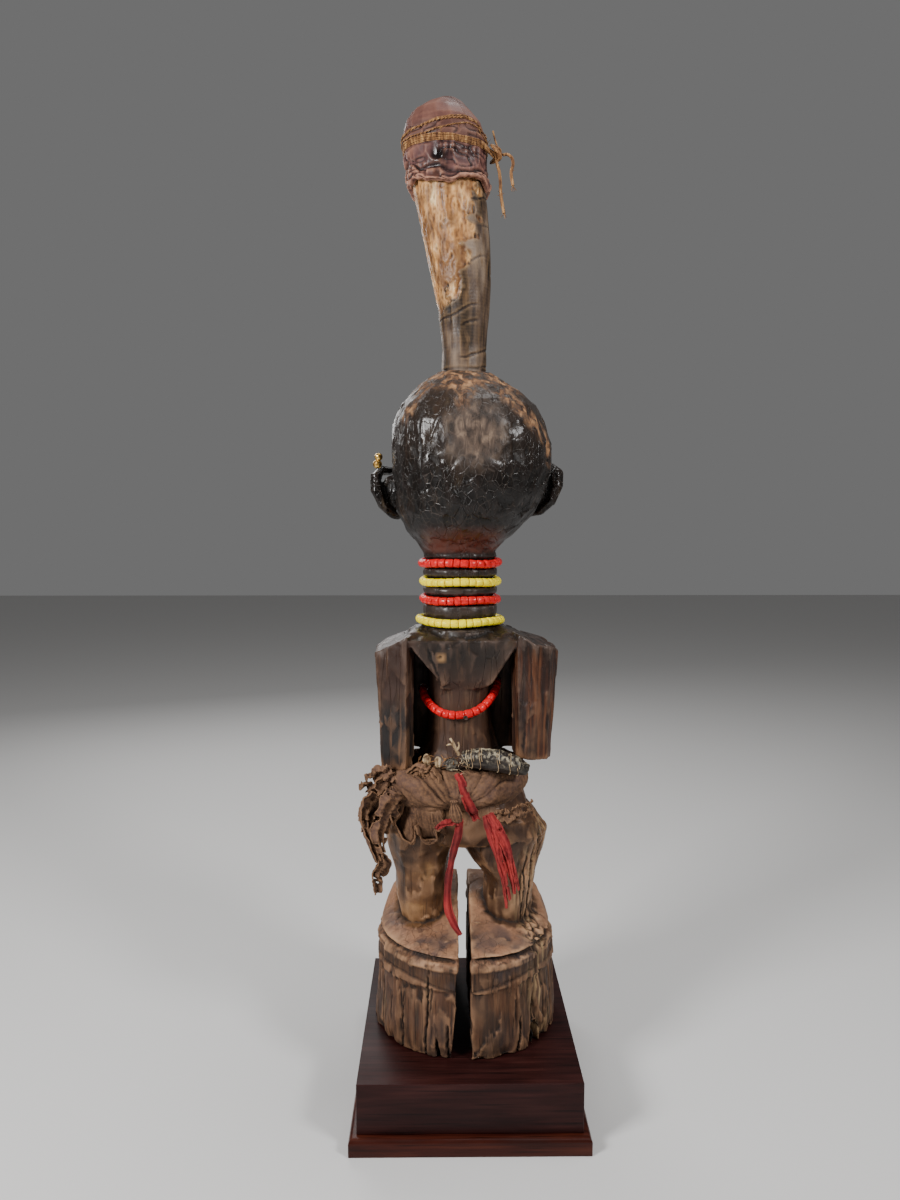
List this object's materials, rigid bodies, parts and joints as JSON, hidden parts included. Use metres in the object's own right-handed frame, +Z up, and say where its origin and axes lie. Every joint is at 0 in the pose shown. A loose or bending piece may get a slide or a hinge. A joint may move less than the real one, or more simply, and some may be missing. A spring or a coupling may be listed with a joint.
{
  "type": "nkishi figure",
  "caption": "Carved wooden power figure with a capped horn on its head, neck beads and a waist wrap, standing on a split round base on a hardwood plinth.",
  "frame": {"origin": "centre of the plinth's underside", "axes": "+Z up; the figure faces -Y, so its left side is at +X"},
  "size_m": [0.2136, 0.2372, 0.9378],
  "materials": {
    "carved_wood": "dark oiled patina, worn and dusty towards the base",
    "horn": "weathered horn, fibrous where worn",
    "hide": "dried purplish brown hide",
    "fibre": "dry tan plant fibre",
    "brass": "old, rubbed bright",
    "red_glass": "opaque glossy glass",
    "yellow_glass": "opaque glossy glass",
    "brown_cloth": "stiff, dirty, torn",
    "red_cloth": "torn strips, faded",
    "crusted_hide": "black with a pale crust",
    "bone": "dry, chalky",
    "stained_hardwood": "satin purple-brown stain",
    "mahogany": "polished, with a rounded upper edge"
  },
  "bodies": {
    "root": {"carved_figure": "carved_wood", "crown_horn": "horn", "horn_cap": "hide", "cap_binding": "fibre", "binding_end_long": "fibre", "binding_end_curl": "fibre", "ear_stud": "brass", "neck_beads_red_upper": "red_glass", "neck_beads_yellow_upper": "yellow_glass", "neck_beads_red_lower": "red_glass", "neck_beads_yellow_lower": "yellow_glass", "back_beads": "red_glass", "waist_cloth": "brown_cloth", "waist_bundle": "crusted_hide", "tucked_twig": "bone", "pierced_bit": "crusted_hide", "seed_pod_1": "bone", "seed_pod_2": "bone", "red_strap": "red_cloth", "red_streamer": "red_cloth", "hip_pouch": "brown_cloth", "plinth_block": "stained_hardwood", "plinth_slab": "mahogany"}
  },
  "joints": []
}
